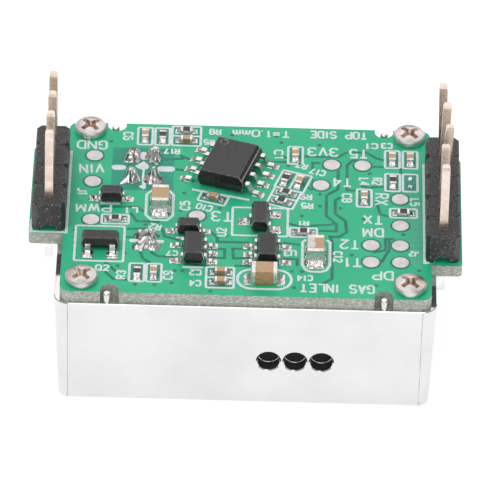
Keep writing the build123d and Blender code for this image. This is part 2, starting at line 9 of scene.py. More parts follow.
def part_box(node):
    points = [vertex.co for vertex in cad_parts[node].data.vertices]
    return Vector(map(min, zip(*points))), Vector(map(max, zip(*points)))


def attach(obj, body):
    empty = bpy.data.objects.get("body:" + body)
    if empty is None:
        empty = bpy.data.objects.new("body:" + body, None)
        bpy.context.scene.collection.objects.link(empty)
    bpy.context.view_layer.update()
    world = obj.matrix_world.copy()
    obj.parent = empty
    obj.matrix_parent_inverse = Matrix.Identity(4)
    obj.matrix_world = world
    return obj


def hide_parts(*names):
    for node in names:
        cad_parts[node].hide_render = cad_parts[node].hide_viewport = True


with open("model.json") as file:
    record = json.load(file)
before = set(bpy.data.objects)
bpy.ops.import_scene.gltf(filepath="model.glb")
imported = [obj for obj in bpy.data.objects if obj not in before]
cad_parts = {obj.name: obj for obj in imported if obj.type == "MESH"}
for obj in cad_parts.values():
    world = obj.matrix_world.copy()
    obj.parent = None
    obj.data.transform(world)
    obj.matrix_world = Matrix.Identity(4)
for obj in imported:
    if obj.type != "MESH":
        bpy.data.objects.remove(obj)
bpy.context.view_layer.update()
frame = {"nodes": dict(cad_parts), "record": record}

MM = 0.001
BOARD_LOW, BOARD_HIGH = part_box("circuit_board")
BOARD_TOP = BOARD_HIGH.z / MM
BOARD_BOTTOM = BOARD_LOW.z / MM

# ---- levels of the printed and masked layers above the board, in mm ----
TINT_LEVEL = 0.004
GAP_LEVEL = 0.008
RING_LEVEL = 0.012
FILM_LEVEL = 0.014
INK_LEVEL = 0.02
LEVEL_STEP = 0.0015

# ---- widths of printed lines and gaps, in mm ----
INK_WIDTH = 0.19
OUTLINE_WIDTH = 0.22
GAP_WIDTH = 0.24
RING_WIDTH = 0.16
BOX_CORNER = 0.12
WINDOW_CORNER = 0.15
BLOB_ROUNDNESS = 0.48
LETTER_INK = (0.13, 0.04)

# ---- gas holes, in mm ----
GAS_HOLE_PITCH = 2.04
GAS_HOLE_RADIUS = 0.88
GAS_HOLE_Z = 4.3
BEAD_RADIUS = 0.035
BEAD_INSET = 0.03

# ---- painted shade at the plating's corners and base, painted highlights on moulded edges, CREASE_WIDTH in mm; screw head and recess radii in mm ----
CREASE_TURN = 0.1
CREASE_SPREAD = 0.035
CREASE_WIDTH = 0.09
HIGHLIGHT_GAIN = 5.0
SCREW_RADIUS = 1.25
RECESS_REACH = 1.02

# ---- modifiers on CAD nodes, in mm ----
WELD_DISTANCE = 1e-4
SOFT_EDGE = 0.07
SOFT_STEPS = 2
SOFT_ANGLE = math.radians(25)
SOLDER_CELL = 0.035
SOLDER_SWELL = 0.1
SOLDER_CLOUD = 0.3
SOLDER_PASSES = 3
MOULDED_BODIES = [
    "amplifier_body", "regulator_left_body", "regulator_right_body", "transistor_centre_body",
    "lamp_driver_body", "diode_left_body", "diode_centre_body", "microcontroller_body",
]

# ---- camera and light, in metres ----
CAMERA_DISTANCE = 0.461788
CAMERA_ELEVATION = math.radians(38.5095)
CAMERA_ROLL = math.radians(1.5391)
CAMERA_LENS = 430.996
CAMERA_SENSOR = 36
CAMERA_TARGET = Vector((0.000248, -0.005014, 0.0107))
CAMERA_CLIP = (0.01, 10)
WORLD_STRENGTH = 0.42
FLOOR_SIZE = 3.0
FLOOR_GLOW = 0.72
LIGHTS = [
    ("overhead", (-0.25, -0.1, 1.0), 0.6, 3.3),
    ("front_panel", (0.15, -0.95, 0.62), 0.7, 2.4),
    ("back_panel", (0.1, 1.1, 0.95), 1.2, 4.0),
]

# ---- printed boxes round chips: (x, y, width, depth, turn, dividers as (axis, place)) ----
UPRIGHT = (1.14, 2.2)
FLAT = (2.08, 1.12)
CHIP_BOXES = [
    (-8.25, 9.05, *UPRIGHT, 0, []),
    (-6.89, 9.05, *UPRIGHT, 0, []),
    (-5.0, 9.19, 2.26, 2.46, 0, [("y", 0.0)]),
    (-2.0, -8.52, 2.12, 2.5, 0, [("y", 0.0)]),
    (-8.4, -8.15, *UPRIGHT, 0, []),
    (-7.08, -8.15, *UPRIGHT, 0, []),
    (3.63, 7.08, *UPRIGHT, 0, []),
    (11.25, 6.87, *UPRIGHT, 0, []),
    (12.65, 6.87, *UPRIGHT, 0, []),
    (11.27, 3.92, *UPRIGHT, 0, []),
    (12.65, 3.92, *UPRIGHT, 0, []),
    (9.05, 1.85, *UPRIGHT, 0, []),
    (12.11, 0.06, *FLAT, 0, []),
    (4.35, -2.69, *FLAT, 0, []),
    (-10.27, -1.63, *FLAT, 0, []),
    (-2.72, 1.3, 2.2, 1.2, -17.5, []),
    (3.49, 3.72, 2.36, 2.25, -18, [("x", 0.0)]),
    (2.78, 1.6, 2.15, 2.3, -18, [("y", 0.0)]),
    (0.97, -1.49, 4.3, 3.5, 0, []),
    (-11.38, -4.71, 3.78, 4.34, 0, []),
]
OPEN_OUTLINES = [
    [(-7.5, 2.15), (-7.92, 1.6), (-7.92, -1.0), (-7.45, -1.6), (-6.25, -1.6), (-5.82, -1.0),
     (-5.82, 1.6), (-6.2, 2.15)],
    [(4.56, -3.55), (4.3, -3.85), (4.3, -6.7), (4.55, -7.3), (4.95, -7.5), (5.75, -7.5),
     (6.15, -7.3), (6.42, -6.7), (6.42, -3.85), (6.16, -3.55)],
    [(-14.0, 6.9), (-14.0, -3.45), (-16.75, -3.45), (-16.75, -1.9)],
    [(13.72, 6.35), (13.72, -6.05), (14.1, -6.05)],
    [(-4.41, 2.38), (-0.95, 1.5), (0.1, 1.22)],
    [(-2.2, 8.0), (1.2, 7.1)],
    [(-11.5, 0.36), (-9.96, 0.36)],
    [(-5.5, -3.75), (-3.6, -3.75)],
    [(-4.9, -7.35), (-3.3, -7.35)],
]
OVAL_OUTLINE = (1.41, -8.6, 4.14, 2.36, 1.1)
# ---- blobs of print between the sensor leads: (x, y, width, depth) ----
INK_BLOBS = [
    (-10.2, 4.93, 1.15, 0.62), (-6.5, 4.88, 1.4, 0.66), (-8.3, 6.5, 0.5, 1.0),
    (-8.69, -4.25, 0.85, 0.4), (-6.87, -4.27, 0.93, 0.36),
]
INK_PATCHES = [
    [(-8.95, 5.14), (-8.29, 5.81), (-7.91, 5.39), (-7.85, 5.06), (-7.9, 4.88), (-8.15, 4.7),
     (-8.19, 4.28), (-8.18, 3.77), (-8.02, 3.01), (-8.02, 2.32), (-8.23, 2.24), (-8.5, 2.48),
     (-8.56, 2.64), (-8.32, 2.74), (-8.37, 3.58), (-8.33, 4.7), (-8.78, 4.93)],
]
# ---- gaps between copper areas, seen as darker lines through the mask ----
COPPER_GAPS = [
    [(7.0, 5.5), (7.0, 2.9), (6.1, 2.1), (6.1, -0.5), (6.9, -1.5), (6.9, -2.4), (5.5, -2.4)],
    [(8.7, 2.8), (7.7, 2.8), (7.7, 6.0), (8.1, 6.6), (8.5, 6.7)],
    [(7.2, 1.9), (6.8, 1.5), (6.8, -0.2), (7.6, -1.1), (7.7, -2.5), (7.1, -3.1), (6.4, -3.1),
     (6.6, -3.9), (6.6, -8.3), (5.8, -9.0)],
    [(4.2, 7.0), (7.0, 7.0), (7.6, 7.6), (9.2, 7.7), (10.0, 7.0), (10.7, 6.7)],
    [(2.0, 6.8), (3.0, 6.8)],
    [(5.6, 6.2), (5.0, 6.2), (5.0, 5.0)],
    [(1.0, 6.1), (2.4, 6.2), (3.0, 6.2)],
    [(5.0, 4.1), (4.4, 3.3), (5.0, 2.7)],
    [(3.2, -1.6), (4.1, -1.9), (6.4, -1.6), (6.9, -1.4)],
    [(9.6, 5.9), (10.6, 5.9)],
    [(11.9, 5.8), (11.9, 5.1)],
    [(9.7, 3.1), (8.8, 3.4)],
    [(9.6, 3.3), (10.8, 3.4), (10.9, 2.5)],
    [(10.0, 1.4), (10.3, -0.1), (11.0, -0.4)],
    [(9.7, -4.9), (10.7, -4.6), (10.7, -3.2), (11.4, -3.2)],
    [(10.4, -6.1), (10.7, -5.3), (11.0, -4.6), (11.0, -3.3)],
    [(13.4, -2.7), (12.6, -3.6), (12.5, -4.1)],
    [(-11.5, -0.1), (-8.6, 0.0), (-8.1, -0.6)],
    [(-9.1, -0.8), (-8.6, -1.8), (-6.8, -1.8)],
    [(-9.5, -2.8), (-7.7, -2.7)],
    [(-9.4, -3.8), (-8.5, -3.8)],
    [(-11.1, -7.8), (-10.2, -9.0), (-9.0, -9.1)],
    [(-10.9, -7.0), (-9.9, -8.2)],
    [(-8.2, -5.6), (-8.0, -6.4), (-7.4, -6.9)],
    [(-7.4, -5.6), (-6.8, -6.1), (-5.3, -6.1)],
    [(-3.0, -2.7), (-2.3, -3.5), (-2.3, -4.1), (0.2, -4.1)],
    [(-3.6, -4.9), (-1.7, -5.0), (-1.7, -6.1), (-3.0, -6.1)],
    [(0.2, -4.9), (-1.1, -4.9), (-1.0, -6.1), (0.3, -6.0)],
    [(-4.8, -7.0), (-2.8, -7.1)],
    [(-0.9, -7.0), (0.3, -7.0)],
    [(2.8, -4.0), (4.1, -4.2)],
    [(3.9, -6.8), (3.9, -6.0), (2.8, -6.0)],
    [(-6.6, -2.6), (-6.4, -3.6), (-5.3, -4.0)],
    [(-5.5, 6.7), (-4.1, 5.9)],
    [(-6.6, 5.0), (-5.0, 4.8)],
    [(-6.6, 6.1), (-5.1, 6.3)],
]
VIAS = [
    (-10.9, 8.3), (-5.2, -0.3), (-5.0, 1.9), (-9.4, -5.8), (-9.9, -7.4), (-8.5, -9.6),
    (-7.0, -9.6), (-5.5, -7.8), (-4.9, -7.8), (-5.7, -9.3), (-7.9, -2.2), (-2.2, 0.1),
    (-1.6, -3.3), (5.6, 2.2), (7.2, 0.5), (5.6, 0.7), (3.5, -7.5), (4.3, -7.5),
    (3.7, -9.5), (8.1, -5.3), (9.0, -0.8), (12.1, -2.6), (13.3, -7.0),
    (9.5, 5.0), (5.5, 8.5), (2.5, 8.7), (2.1, 9.5), (-1.4, 9.5), (3.1, 5.7), (4.2, -0.6),
    (-2.7, -10.2), (10.0, -9.0), (-13.35, -3.1), (-13.3, -3.95), (-13.3, -4.75),
    (-13.25, -5.6), (-13.2, -6.5),
]
VIA_RADIUS = 0.17
# ---- lettering: (text, x, y, width, depth, turn) ----
LABELS = [
    ("TOP SIDE", 7.0, 9.85, 4.6, 1.0, 180), ("T=1.0mm", 0.9, 9.78, 4.6, 0.95, 180),
    ("3V3", 5.8, 7.6, 2.5, 1.15, 180), ("T5", 8.6, 7.5, 1.5, 1.2, 180),
    ("T4", 7.3, 3.8, 1.6, 1.2, 180), ("C17", 5.4, 5.0, 1.3, 0.8, 162),
    ("R7", 4.15, 5.75, 0.95, 0.75, 162), ("R9", 4.5, 1.8, 1.0, 0.78, 180),
    ("R5", 4.6, 0.7, 1.0, 0.78, 180), ("C8", 7.7, 1.8, 0.85, 1.2, 270),
    ("L4", 9.03, 3.95, 0.85, 1.0, 270), ("R2", 10.05, 4.0, 0.85, 1.0, 270),
    ("C1", 9.68, 8.55, 0.95, 0.78, 180), ("C3", 10.82, 8.62, 0.95, 0.78, 180),
    ("RX", 10.4, 1.75, 1.15, 1.55, 270), ("L5", 13.0, 1.5, 0.8, 1.0, 270),
    ("TX", 9.75, -0.85, 1.6, 1.2, 180), ("DM", 9.75, -2.45, 1.7, 1.15, 180),
    ("T2", 7.93, -4.0, 1.57, 1.2, 180), ("T1", 8.3, -6.2, 1.3, 1.2, 180),
    ("C12", 7.03, -5.6, 0.78, 1.4, 270), ("DP", 10.5, -7.75, 1.7, 1.15, 180),
    ("GAS INLET", 7.0, -9.5, 5.8, 1.1, 180), ("C14", 4.5, -8.3, 1.3, 0.75, 180),
    ("U3", 3.35, -5.3, 1.05, 0.8, 180), ("R1", 4.4, -1.5, 0.8, 0.65, 180),
    ("C2", -3.9, -7.95, 1.0, 0.8, 180), ("C4", -3.9, -9.27, 1.0, 0.8, 180),
    ("R3", -9.6, -8.5, 0.8, 1.1, 90), ("C9", -6.0, -8.4, 0.8, 1.1, 90),
    ("Q2", -11.05, -7.7, 1.15, 0.8, 0), ("GND", -12.4, 7.75, 2.45, 1.15, 180),
    ("VIN", -12.33, 4.7, 2.0, 1.2, 183), ("PWM", -12.0, -0.3, 2.85, 1.05, 180),
    ("L1", -9.0, -0.45, 0.95, 0.8, 180), ("C10", -3.4, 0.15, 1.35, 0.8, 163),
    ("C5", -4.9, 0.3, 0.85, 1.2, 90), ("T3", -2.0, -0.93, 1.7, 1.3, 180),
    ("U2", -2.0, -2.9, 0.85, 1.1, 90), ("C7", -5.75, -5.68, 0.95, 0.7, 180),
    ("R17", -6.1, 7.2, 1.3, 0.75, 180), ("C6", -9.6, 9.0, 0.85, 1.1, 270),
    ("R2", -7.15, -2.45, 1.0, 0.8, 168), ("R8", -2.75, 9.85, 1.0, 0.8, 180),
    ("C1", 2.3, 7.2, 0.8, 1.1, 270), ("J2", 12.9, -5.0, 0.8, 0.7, 170),
    ("R5", -3.2, 8.5, 0.9, 0.75, 180), ("J1", -12.96, 1.8, 0.85, 0.8, 270),
]

# ---- tinted areas: the largest tinted box in square mm, and the sensor's window ----
LARGEST_TINT = 8.0
SENSOR_WINDOW = (-8.31, 4.82, 4.86, 5.38)
# ---- dried flux: one film's outline, then spots (x, y, half width, half depth) ----
FLUX_FILM = [
    (13.17, 1.1), (12.7, 0.6), (12.62, -0.36), (12.73, -1.61), (12.49, -3.24), (12.75, -5.1),
    (12.59, -6.09), (13.13, -6.93), (13.58, -6.85), (13.58, 1.1),
]
FLUX_SPOTS = [(-13.2, 3.7, 0.3, 0.5), (-13.1, 1.0, 0.25, 0.4)]
# ---- letter shapes: strokes on a grid about 4 wide and 6 high ----
ROUND_O = [(1, 0), (3, 0), (4, 1), (4, 5), (3, 6), (1, 6), (0, 5), (0, 1), (1, 0)]
GLYPHS = {
    "0": [ROUND_O], "O": [ROUND_O],
    "1": [[(1, 5), (2, 6), (2, 0)]],
    "2": [[(0, 5), (1, 6), (3, 6), (4, 5), (4, 4), (0, 0), (4, 0)]],
    "3": [[(0, 5), (1, 6), (3, 6), (4, 5), (4, 4), (3, 3.1), (1.6, 3.1)],
          [(3, 3.1), (4, 2), (4, 1), (3, 0), (1, 0), (0, 1)]],
    "4": [[(3, 0), (3, 6), (0, 2), (4, 2)]],
    "5": [[(4, 6), (0.3, 6), (0.2, 3.4), (1.2, 3.8), (3, 3.8), (4, 3), (4, 1), (3, 0), (1, 0),
           (0, 0.8)]],
    "6": [[(3.6, 5.6), (3, 6), (1, 6), (0, 5), (0, 1), (1, 0), (3, 0), (4, 1), (4, 2.4),
           (3, 3.4), (1, 3.4), (0.2, 2.6)]],
    "7": [[(0, 6), (4, 6), (1.4, 0)]],
    "8": [[(1, 3.1), (0, 4), (0, 5), (1, 6), (3, 6), (4, 5), (4, 4), (3, 3.1), (1, 3.1)],
          [(1, 3.1), (0, 2), (0, 1), (1, 0), (3, 0), (4, 1), (4, 2), (3, 3.1)]],
    "9": [[(0.4, 0.4), (1, 0), (3, 0), (4, 1), (4, 5), (3, 6), (1, 6), (0, 5), (0, 3.6),
           (1, 2.6), (3, 2.6), (3.8, 3.4)]],
    "A": [[(0, 0), (2, 6), (4, 0)], [(0.7, 2), (3.3, 2)]],
    "C": [[(4, 5), (3, 6), (1, 6), (0, 5), (0, 1), (1, 0), (3, 0), (4, 1)]],
    "D": [[(0, 0), (0, 6), (2.6, 6), (4, 4.6), (4, 1.4), (2.6, 0), (0, 0)]],
    "E": [[(4, 6), (0, 6), (0, 0), (4, 0)], [(0, 3.1), (3, 3.1)]],
    "G": [[(4, 5), (3, 6), (1, 6), (0, 5), (0, 1), (1, 0), (3, 0), (4, 1), (4, 2.8), (2.3, 2.8)]],
    "I": [[(2, 0), (2, 6)]],
    "J": [[(3.4, 6), (3.4, 1), (2.4, 0), (1, 0), (0.2, 1)]],
    "L": [[(0, 6), (0, 0), (3.6, 0)]],
    "M": [[(0, 0), (0.3, 6), (2.2, 1.2), (4.1, 6), (4.4, 0)]],
    "N": [[(0, 0), (0, 6), (4, 0), (4, 6)]],
    "P": [[(0, 0), (0, 6), (3, 6), (4, 5), (4, 4), (3, 3), (0, 3)]],
    "Q": [ROUND_O, [(2.4, 1.8), (4.2, -0.4)]],
    "R": [[(0, 0), (0, 6), (3, 6), (4, 5), (4, 4), (3, 3), (0, 3)], [(2, 3), (4, 0)]],
    "S": [[(0, 1), (1, 0), (3, 0), (4, 1), (4, 2), (3, 3), (1, 3.2), (0, 4), (0, 5), (1, 6),
           (3, 6), (4, 5)]],
    "T": [[(2, 0), (2, 6)], [(0, 6), (4, 6)]],
    "U": [[(0, 6), (0, 1), (1, 0), (3, 0), (4, 1), (4, 6)]],
    "V": [[(0, 6), (2, 0), (4, 6)]],
    "W": [[(0, 6), (1.1, 0), (2.4, 5), (3.7, 0), (4.8, 6)]],
    "X": [[(0, 0), (4, 6)], [(0, 6), (4, 0)]],
    "m": [[(0, 0), (0, 4)], [(0, 3), (1, 4), (2, 3), (2, 0)], [(2, 3), (3, 4), (4, 3), (4, 0)]],
    "=": [[(0, 2), (4, 2)], [(0, 4), (4, 4)]],
    ".": [[(1.8, 0), (1.8, 0.7)]],
    " ": [],
}
GLYPH_ADVANCE = 5.7
GLYPH_HEIGHT = 6.0
SHARP_CORNER = 0.5
CORNER_REACH = 0.4
NARROW = {"1": 3.9, "I": 3.6, ".": 2.6, "M": 6.1, "W": 6.5}

# ---- hand-soldered joints, in mm ----
PEAK_SECTORS = 72
PEAK_RINGS = 44
PEAK_LEAST = 0.012
PLUG_RADIUS = 0.36
PLUG_INSET = 0.02
FOLD_DEPTH = 0.3
SPUR_HEADING = math.radians(215)
# ---- sensor joints, front left, back left, then right: (seed, shape), where shape is
# (foot x, foot y, height, lean, bluntness, folds, spur) ----
DETECTOR_PEAKS = [
    (3, (0.68, 0.78, 1.05, (0.0, 0.05), 0.34, 5, 0.7)),
    (5, (0.72, 0.62, 0.85, (0.1, 0.1), 0.6, 4, 0.3)),
    (9, (0.7, 0.8, 1.2, (-0.05, 0.0), 0.2, 3, 0.0)),
    (12, (0.7, 0.65, 1.25, (-0.05, 0.05), 0.5, 7, 0.0)),
]
EMITTER_PEAKS = [
    (21, (0.56, 0.55, 0.75, (0.5, 0.35), 0.25, 5, 0.2)),
    (24, (0.56, 0.5, 0.75, (0.55, -0.1), 0.28, 5, 0.0)),
    (27, (0.6, 0.55, 0.8, (-0.3, 0.35), 0.25, 5, 0.0)),
    (31, (0.56, 0.5, 0.75, (-0.25, -0.05), 0.25, 5, 0.0)),
]
CRUST_AT = (0.05, 0.05, 0.78)
CRUST_SIZE = (0.46, 0.5, 0.07)
CRUST_CORNER = 0.12
CRUST_TILT = (math.radians(35), math.radians(-22), math.radians(-25))
# ---- solder and tin on the large capacitors, in mm ----
FILLET_HALF = (0.17, 0.55)
FILLET_HEIGHT = 0.75
FILLET_AT = (0.74, 0.6)
FILLET_STEPS = (24, 7)
UPRIGHT_CAPACITORS = [(-6.82, 0.27), (5.3, -5.52)]
SMEAR_OUTLINE = [
    (4.66, -6.2), (5.22, -6.16), (5.3, -5.7), (5.18, -5.3), (5.22, -4.85), (4.66, -4.82),
]
SMEAR_THICK = 0.025


# ---- flat shapes: each returns (points, faces) in mm, closed on every side ----
def corner_offsets(points, width, closed):
    """Left and right edge points of a line of constant width with mitred corners."""
    pairs = []
    count = len(points)
    for k, point in enumerate(points):
        before = points[(k - 1) % count] if closed or k > 0 else None
        after = points[(k + 1) % count] if closed or k < count - 1 else None
        arriving = (Vector(point) - Vector(before)).normalized() if before else None
        leaving = (Vector(after) - Vector(point)).normalized() if after else None
        arriving = arriving or leaving
        leaving = leaving or arriving
        along = (arriving + leaving).normalized()
        side = Vector((-along.y, along.x))
        cosine = max(0.5, side.dot(Vector((-leaving.y, leaving.x))))
        reach = width / 2 / cosine
        pairs.append((Vector(point) + side * reach, Vector(point) - side * reach))
    return pairs


def strip(points, width, low, high, closed=False):
    """A line of ink or mask: constant width and thickness."""
    pairs = corner_offsets(points, width, closed)
    rings = []
    for left, right in pairs:
        rings.append([(left.x, left.y, low), (right.x, right.y, low),
                      (right.x, right.y, high), (left.x, left.y, high)])
    vertices = [v for ring in rings for v in ring]
    faces = []
    count = len(rings)
    for k in range(count if closed else count - 1):
        a = 4 * k
        b = 4 * ((k + 1) % count)
        for i in range(4):
            j = (i + 1) % 4
            faces.append((a + i, b + i, b + j, a + j))
    if not closed:
        faces.append((0, 1, 2, 3))
        last = 4 * (count - 1)
        faces.append((last + 3, last + 2, last + 1, last))
    return vertices, faces


def plate(outline, low, high):
    """A flat patch with the given outline."""
    count = len(outline)
    vertices = [(x, y, low) for x, y in outline] + [(x, y, high) for x, y in outline]
    faces = [tuple(reversed(range(count))), tuple(range(count, 2 * count))]
    for k in range(count):
        j = (k + 1) % count
        faces.append((k, j, count + j, count + k))
    return vertices, faces


def rounded_outline(x, y, width, depth, radius, turn=0.0, steps=4):
    """Points round a rectangle with rounded corners, anticlockwise."""
    points = []
    for quarter in range(4):
        sx = (1, -1, -1, 1)[quarter]
        sy = (1, 1, -1, -1)[quarter]
        for k in range(steps + 1):
            a = math.pi / 2 * (quarter + k / steps)
            px = sx * (width / 2 - radius) + radius * math.cos(a)
            py = sy * (depth / 2 - radius) + radius * math.sin(a)
            points.append(turned(x, y, turn, px, py))
    return points


def circle(x, y, radius, steps=32):
    return [(x + radius * math.cos(2 * math.pi * k / steps),
             y + radius * math.sin(2 * math.pi * k / steps)) for k in range(steps)]


def turned(x, y, turn, dx, dy):
    """A point given relative to a turned box's centre."""
    angle = math.radians(turn)
    return (x + dx * math.cos(angle) - dy * math.sin(angle),
            y + dx * math.sin(angle) + dy * math.cos(angle))


# ---- building pieces ----
def build(name, parts, material, smooth=False):
    """One object from several (points in mm, faces) parts."""
    vertices = []
    faces = []
    for points, polygons in parts:
        start = len(vertices)
        vertices += [Vector(p) * MM for p in points]
        faces += [tuple(start + i for i in polygon) for polygon in polygons]
    mesh = bpy.data.meshes.new(name)
    mesh.from_pydata(vertices, [], faces)
    mesh.validate()
    mesh.update()
    if smooth:
        mesh.polygons.foreach_set("use_smooth", [True] * len(mesh.polygons))
    mesh.materials.append(material)
    piece = bpy.data.objects.new(name, mesh)
    bpy.context.scene.collection.objects.link(piece)
    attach(piece, "root")
    return piece


def chip_box_lines():
    """White outlines, each a little above or below the one before it in the list."""
    parts = []
    base = BOARD_TOP
    for order, (x, y, width, depth, turn, dividers) in enumerate(CHIP_BOXES):
        top = BOARD_TOP + INK_LEVEL + (order % 2) * LEVEL_STEP
        outline = rounded_outline(x, y, width, depth, BOX_CORNER, turn, 2)
        parts.append(strip(outline, INK_WIDTH, base, top, closed=True))
        for axis, place in dividers:
            half = (depth if axis == "x" else width) / 2 - INK_WIDTH / 2
            ends = [(place, -half), (place, half)] if axis == "x" else [(-half, place), (half, place)]
            line = [turned(x, y, turn, dx, dy) for dx, dy in ends]
            parts.append(strip(line, INK_WIDTH, base, top))
    top = BOARD_TOP + INK_LEVEL
    for order, line in enumerate(OPEN_OUTLINES):
        parts.append(strip(line, OUTLINE_WIDTH, base, top + (2 + order % 4) * LEVEL_STEP))
    oval = rounded_outline(*OVAL_OUTLINE)
    parts.append(strip(oval, OUTLINE_WIDTH, base, top, closed=True))
    for x, y, width, depth in INK_BLOBS:
        radius = min(width, depth) * BLOB_ROUNDNESS
        parts.append(plate(rounded_outline(x, y, width, depth, radius), base, top))
    for patch in INK_PATCHES:
        parts.append(plate(list(reversed(patch)), base, top))
    return parts


def chip_tints():
    """Bare laminate seen through the mask: inside the chip boxes and round the sensor."""
    base = BOARD_TOP
    top = BOARD_TOP + TINT_LEVEL
    parts = []
    for x, y, width, depth, turn, _ in CHIP_BOXES:
        if width * depth > LARGEST_TINT:
            continue
        outline = rounded_outline(x, y, width, depth, BOX_CORNER, turn, 2)
        parts.append(plate(outline, base, top))
    x, y, width, depth = SENSOR_WINDOW
    parts.append(plate(rounded_outline(x, y, width, depth, WINDOW_CORNER), base, top))
    return parts


def copper_gap_lines():
    parts = []
    for order, line in enumerate(COPPER_GAPS):
        top = BOARD_TOP + GAP_LEVEL + order % 3 * LEVEL_STEP
        parts.append(strip(line, GAP_WIDTH, BOARD_TOP, top))
    return parts


def islands(node):
    """Boxes of a node's separate solids in mm: (low corner, high corner)."""
    mesh = frame["nodes"][node].data
    keys = {}
    ids = []
    for v in mesh.vertices:
        key = tuple(round(c * 1e7) for c in v.co)
        ids.append(keys.setdefault(key, len(keys)))
    parent = list(range(len(keys)))

    def root(k):
        while parent[k] != k:
            parent[k] = parent[parent[k]]
            k = parent[k]
        return k

    for edge in mesh.edges:
        a = root(ids[edge.vertices[0]])
        b = root(ids[edge.vertices[1]])
        if a != b:
            parent[a] = b
    groups = {}
    for key, k in keys.items():
        groups.setdefault(root(k), []).append([c / 1e4 for c in key])
    boxes = []
    for points in groups.values():
        low = Vector([min(p[i] for p in points) for i in range(3)])
        high = Vector([max(p[i] for p in points) for i in range(3)])
        boxes.append((low, high))
    return sorted(boxes, key=lambda b: tuple(b[0]))


def pad_rings():
    """Dark clearance rings round the test pads."""
    parts = []
    for low, high in islands("test_pads"):
        centre = (low + high) / 2
        radius = (high.x - low.x) / 2
        ring = circle(centre.x, centre.y, radius + RING_WIDTH / 2)
        parts.append(strip(ring, RING_WIDTH, BOARD_TOP, BOARD_TOP + RING_LEVEL, closed=True))
    return parts


def flux_films():
    """Dried flux: thin uneven films beside the header rows."""
    top = BOARD_TOP + FILM_LEVEL
    parts = [plate(list(reversed(FLUX_FILM)), BOARD_TOP, top)]
    for k, (x, y, half_x, half_y) in enumerate(FLUX_SPOTS):
        outline = []
        for a in ring_angles(28):
            ruffle = 1 + 0.3 * noise.noise(Vector((2 * math.cos(a), 2 * math.sin(a), 9.0 * k)))
            outline.append((x + half_x * ruffle * math.cos(a), y + half_y * ruffle * math.sin(a)))
        parts.append(plate(outline, BOARD_TOP, top))
    return parts


def gas_hole_rims():
    """Bright inner edges of the three gas holes."""
    low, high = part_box("dust_filter")
    middle = (low + high) / 2 / MM
    wall = low.y / MM - BEAD_INSET
    parts = []
    for k in (-1, 0, 1):
        parts.append(ring_bead(middle.x + k * GAS_HOLE_PITCH, wall, GAS_HOLE_Z, GAS_HOLE_RADIUS))
    return parts


def ring_bead(x, y, z, radius):
    """A thin round bead lying in an upright plane."""
    steps = 48
    sides = 8
    vertices = []
    for a in ring_angles(steps):
        for b in ring_angles(sides):
            r = radius + BEAD_RADIUS * math.cos(b)
            vertices.append((x + r * math.cos(a), y + BEAD_RADIUS * math.sin(b),
                             z + r * math.sin(a)))
    faces = []
    for k in range(steps):
        for i in range(sides):
            j = (i + 1) % sides
            n = (k + 1) % steps
            faces.append((k * sides + i, k * sides + j, n * sides + j, n * sides + i))
    return vertices, faces


def via_spots():
    parts = []
    for x, y in VIAS:
        parts.append(plate(circle(x, y, VIA_RADIUS, 16), BOARD_TOP, BOARD_TOP + GAP_LEVEL))
    return parts


# ---- lettering ----
def split_sharp(points, ink):
    """Cuts a stroke at its sharp corners, letting each run reach a little past the corner."""
    runs = [[Vector(points[0])]]
    for k, point in enumerate(points[1:], 1):
        runs[-1].append(Vector(point))
        if k == len(points) - 1:
            break
        arriving = (Vector(point) - Vector(points[k - 1])).normalized()
        leaving = (Vector(points[k + 1]) - Vector(point)).normalized()
        if arriving.dot(leaving) < SHARP_CORNER:
            runs[-1][-1] = Vector(point) + arriving * ink * CORNER_REACH
            runs.append([Vector(point) - leaving * ink * CORNER_REACH])
    return runs


def text_parts(text, x, y, width, depth, turn):
    """Raised print: single-stroke letters fitted to width and depth, then turned."""
    strokes = []
    pen = 0.0
    for letter in text:
        advance = NARROW.get(letter, GLYPH_ADVANCE)
        shift = -1.0 if letter in "1I." else 0.0
        for line in GLYPHS[letter]:
            strokes.append([(pen + px + shift, py) for px, py in line])
        pen += advance
    left = min(p[0] for line in strokes for p in line)
    right = max(p[0] for line in strokes for p in line)
    sideways = turn in (90, 270)
    long_side, short_side = (depth, width) if sideways else (width, depth)
    ink = LETTER_INK[0] + LETTER_INK[1] * short_side
    scale_x = (long_side - ink) / (right - left)
    scale_y = (short_side - ink) / GLYPH_HEIGHT
    parts = []
    for line in strokes:
        placed = []
        for px, py in line:
            dx = (px - (left + right) / 2) * scale_x
            dy = (py - GLYPH_HEIGHT / 2) * scale_y
            placed.append(turned(x, y, turn, dx, dy))
        for run in split_sharp(placed, ink):
            top = BOARD_TOP + INK_LEVEL + len(parts) % 4 * LEVEL_STEP
            parts.append(strip(run, ink, BOARD_TOP, top))
    return parts


